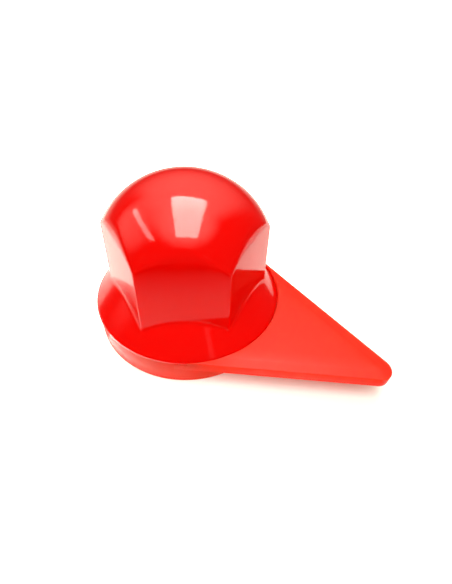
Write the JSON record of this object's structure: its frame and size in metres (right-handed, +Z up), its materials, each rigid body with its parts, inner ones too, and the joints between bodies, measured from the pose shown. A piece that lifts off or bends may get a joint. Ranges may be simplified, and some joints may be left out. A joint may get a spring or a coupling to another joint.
{
  "type": "wheel nut cover with pointer",
  "caption": "Domed hexagonal dust cover for a truck wheel nut, on a flat ring with a tapered pointer that shows when the nut has turned.",
  "frame": {"origin": "on the nut's axis, in the plane of the grip ring's seat face", "axes": "+Z up the nut's axis to the top of the dome, +X along the pointer at rest, +Y to the pointer's left seen from above"},
  "size_m": [0.0864, 0.0528, 0.0444],
  "materials": {
    "cover_gloss": "high-gloss moulded red plastic",
    "pointer_satin": "satin moulded red plastic, slightly more orange than the cover",
    "grip_satin": "satin moulded red plastic"
  },
  "bodies": {
    "grip": {"grip_ring": "grip_satin"},
    "pointer": {"pointer_ring": "pointer_satin"},
    "cover": {"nut_cover": "cover_gloss"}
  },
  "joints": [
    {"name": "pointer_index", "type": "hinge", "parent": "grip", "child": "pointer", "pos_m": [0, 0, 0.003], "axis": [0, 0, 1], "continuous": true},
    {"name": "cover_pull", "type": "slide", "parent": "grip", "child": "cover", "axis": [0, 0, 1], "range_m": [0, 0.045]}
  ]
}
